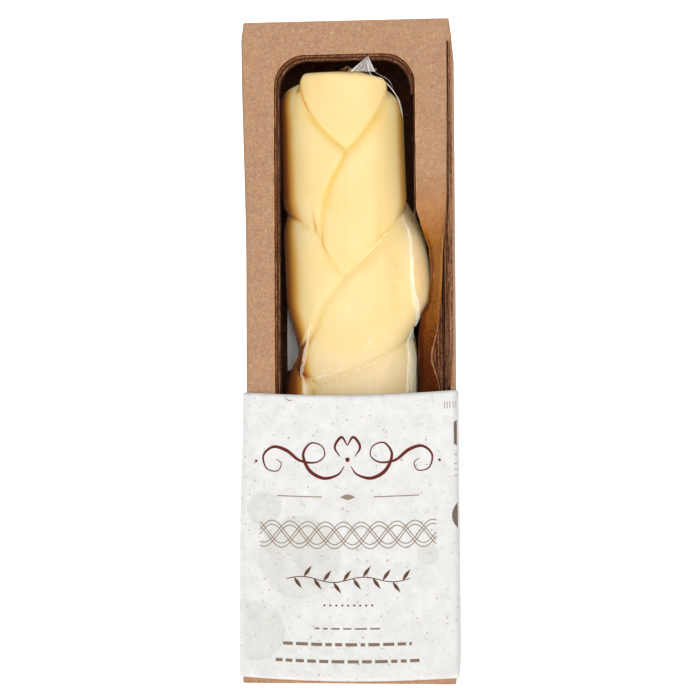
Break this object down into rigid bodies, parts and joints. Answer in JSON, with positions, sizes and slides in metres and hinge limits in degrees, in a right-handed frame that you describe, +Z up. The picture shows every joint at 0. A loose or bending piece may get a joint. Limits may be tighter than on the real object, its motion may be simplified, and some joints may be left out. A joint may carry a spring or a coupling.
{
  "type": "boxed braided string cheese",
  "caption": "Vacuum-packed braided string cheese standing in a windowed kraft carton with a paper label sleeve round its lower half.",
  "frame": {"origin": "middle of the carton's foot, on the surface it stands on", "axes": "+Z up along the carton, -Y out of the window, +X to the right as the window is faced"},
  "size_m": [0.0588, 0.0398, 0.178],
  "materials": {
    "kraft_board": "matt uncoated brown kraft board with fine fibres",
    "kraft_ply": "matt uncoated brown kraft board, raw inner plies",
    "label_paper": "matt white recycled paper with small brown flecks",
    "cheese": "smooth pale yellow cheese, moist under its film",
    "film": "clear glossy vacuum film"
  },
  "bodies": {
    "root": {"carton": "kraft_board", "liner": "kraft_ply", "window_frame": "kraft_ply", "side_ply_1": "kraft_ply", "side_ply_2": "kraft_ply", "side_ply_3": "kraft_ply", "side_ply_4": "kraft_ply", "label": "label_paper", "pouch": "cheese", "film_tip": "film"}
  },
  "joints": []
}
